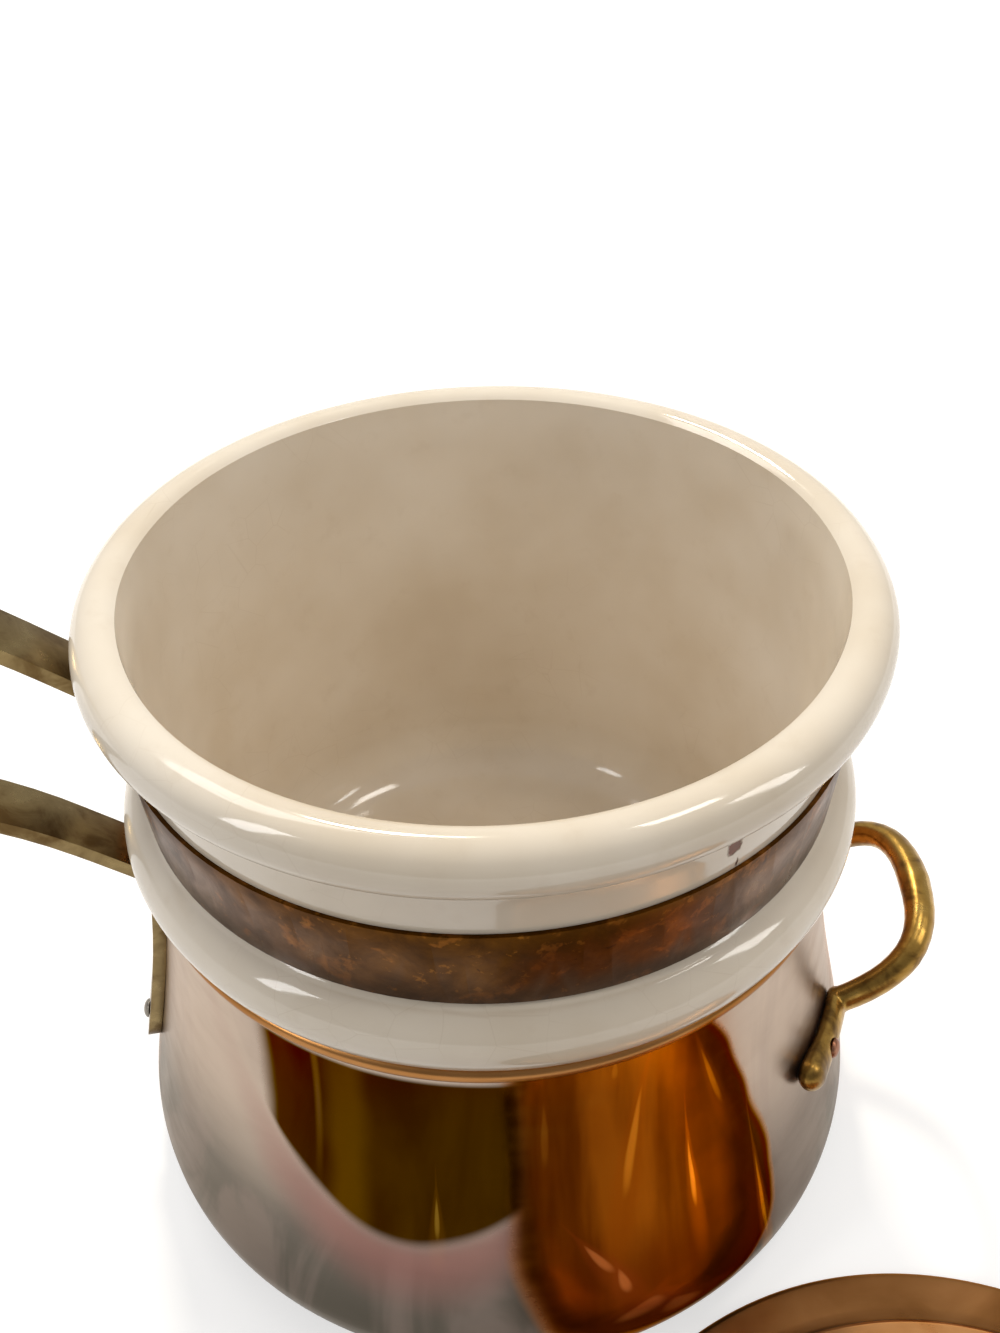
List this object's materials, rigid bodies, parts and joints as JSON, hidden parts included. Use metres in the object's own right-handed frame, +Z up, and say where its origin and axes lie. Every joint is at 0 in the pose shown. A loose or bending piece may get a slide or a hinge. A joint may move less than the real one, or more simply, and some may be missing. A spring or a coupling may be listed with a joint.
{
  "type": "double boiler",
  "caption": "Double boiler: copper pot with long and loop handles, ceramic insert held in a copper strap with its own handle, and a copper lid set down beside the pot.",
  "frame": {"origin": "centre of the pot's flat base, on the stove", "axes": "+Z up along the pot's axis, the long handles along -X, the lid set down on the -Y side"},
  "size_m": [0.3953, 0.3498, 0.2],
  "materials": {
    "copper": "polished copper",
    "old_copper": "tarnished copper",
    "tin": "wiped tin, brushed round",
    "brass": "satin cast brass",
    "dark_rivet": "dark steel",
    "copper_rivet": "dull copper",
    "glaze": "ivory gloss glaze"
  },
  "bodies": {
    "pot": {"pot_shell": "copper", "pot_tin_lining": "tin", "pot_long_handle": "brass", "pot_long_handle_rivets": "dark_rivet", "pot_loop_handle": "brass", "pot_loop_handle_rivet": "copper_rivet"},
    "insert": {"insert_bowl": "glaze", "insert_strap": "old_copper", "strap_screw": "dark_rivet", "strap_nut": "dark_rivet", "insert_handle": "brass", "insert_handle_rivets": "copper_rivet"},
    "lid": {"lid_shell": "copper", "lid_tin_lining": "tin", "lid_knob": "brass", "lid_knob_screw": "dark_rivet", "lid_knob_washer": "brass"}
  },
  "joints": [
    {"name": "insert_lift", "type": "slide", "parent": "pot", "child": "insert", "axis": [0, 0, 1], "range_m": [0, 0.118]},
    {"name": "lid_lift", "type": "slide", "parent": "pot", "child": "lid", "axis": [0, 0, 1], "range_m": [0, 0.15]}
  ]
}
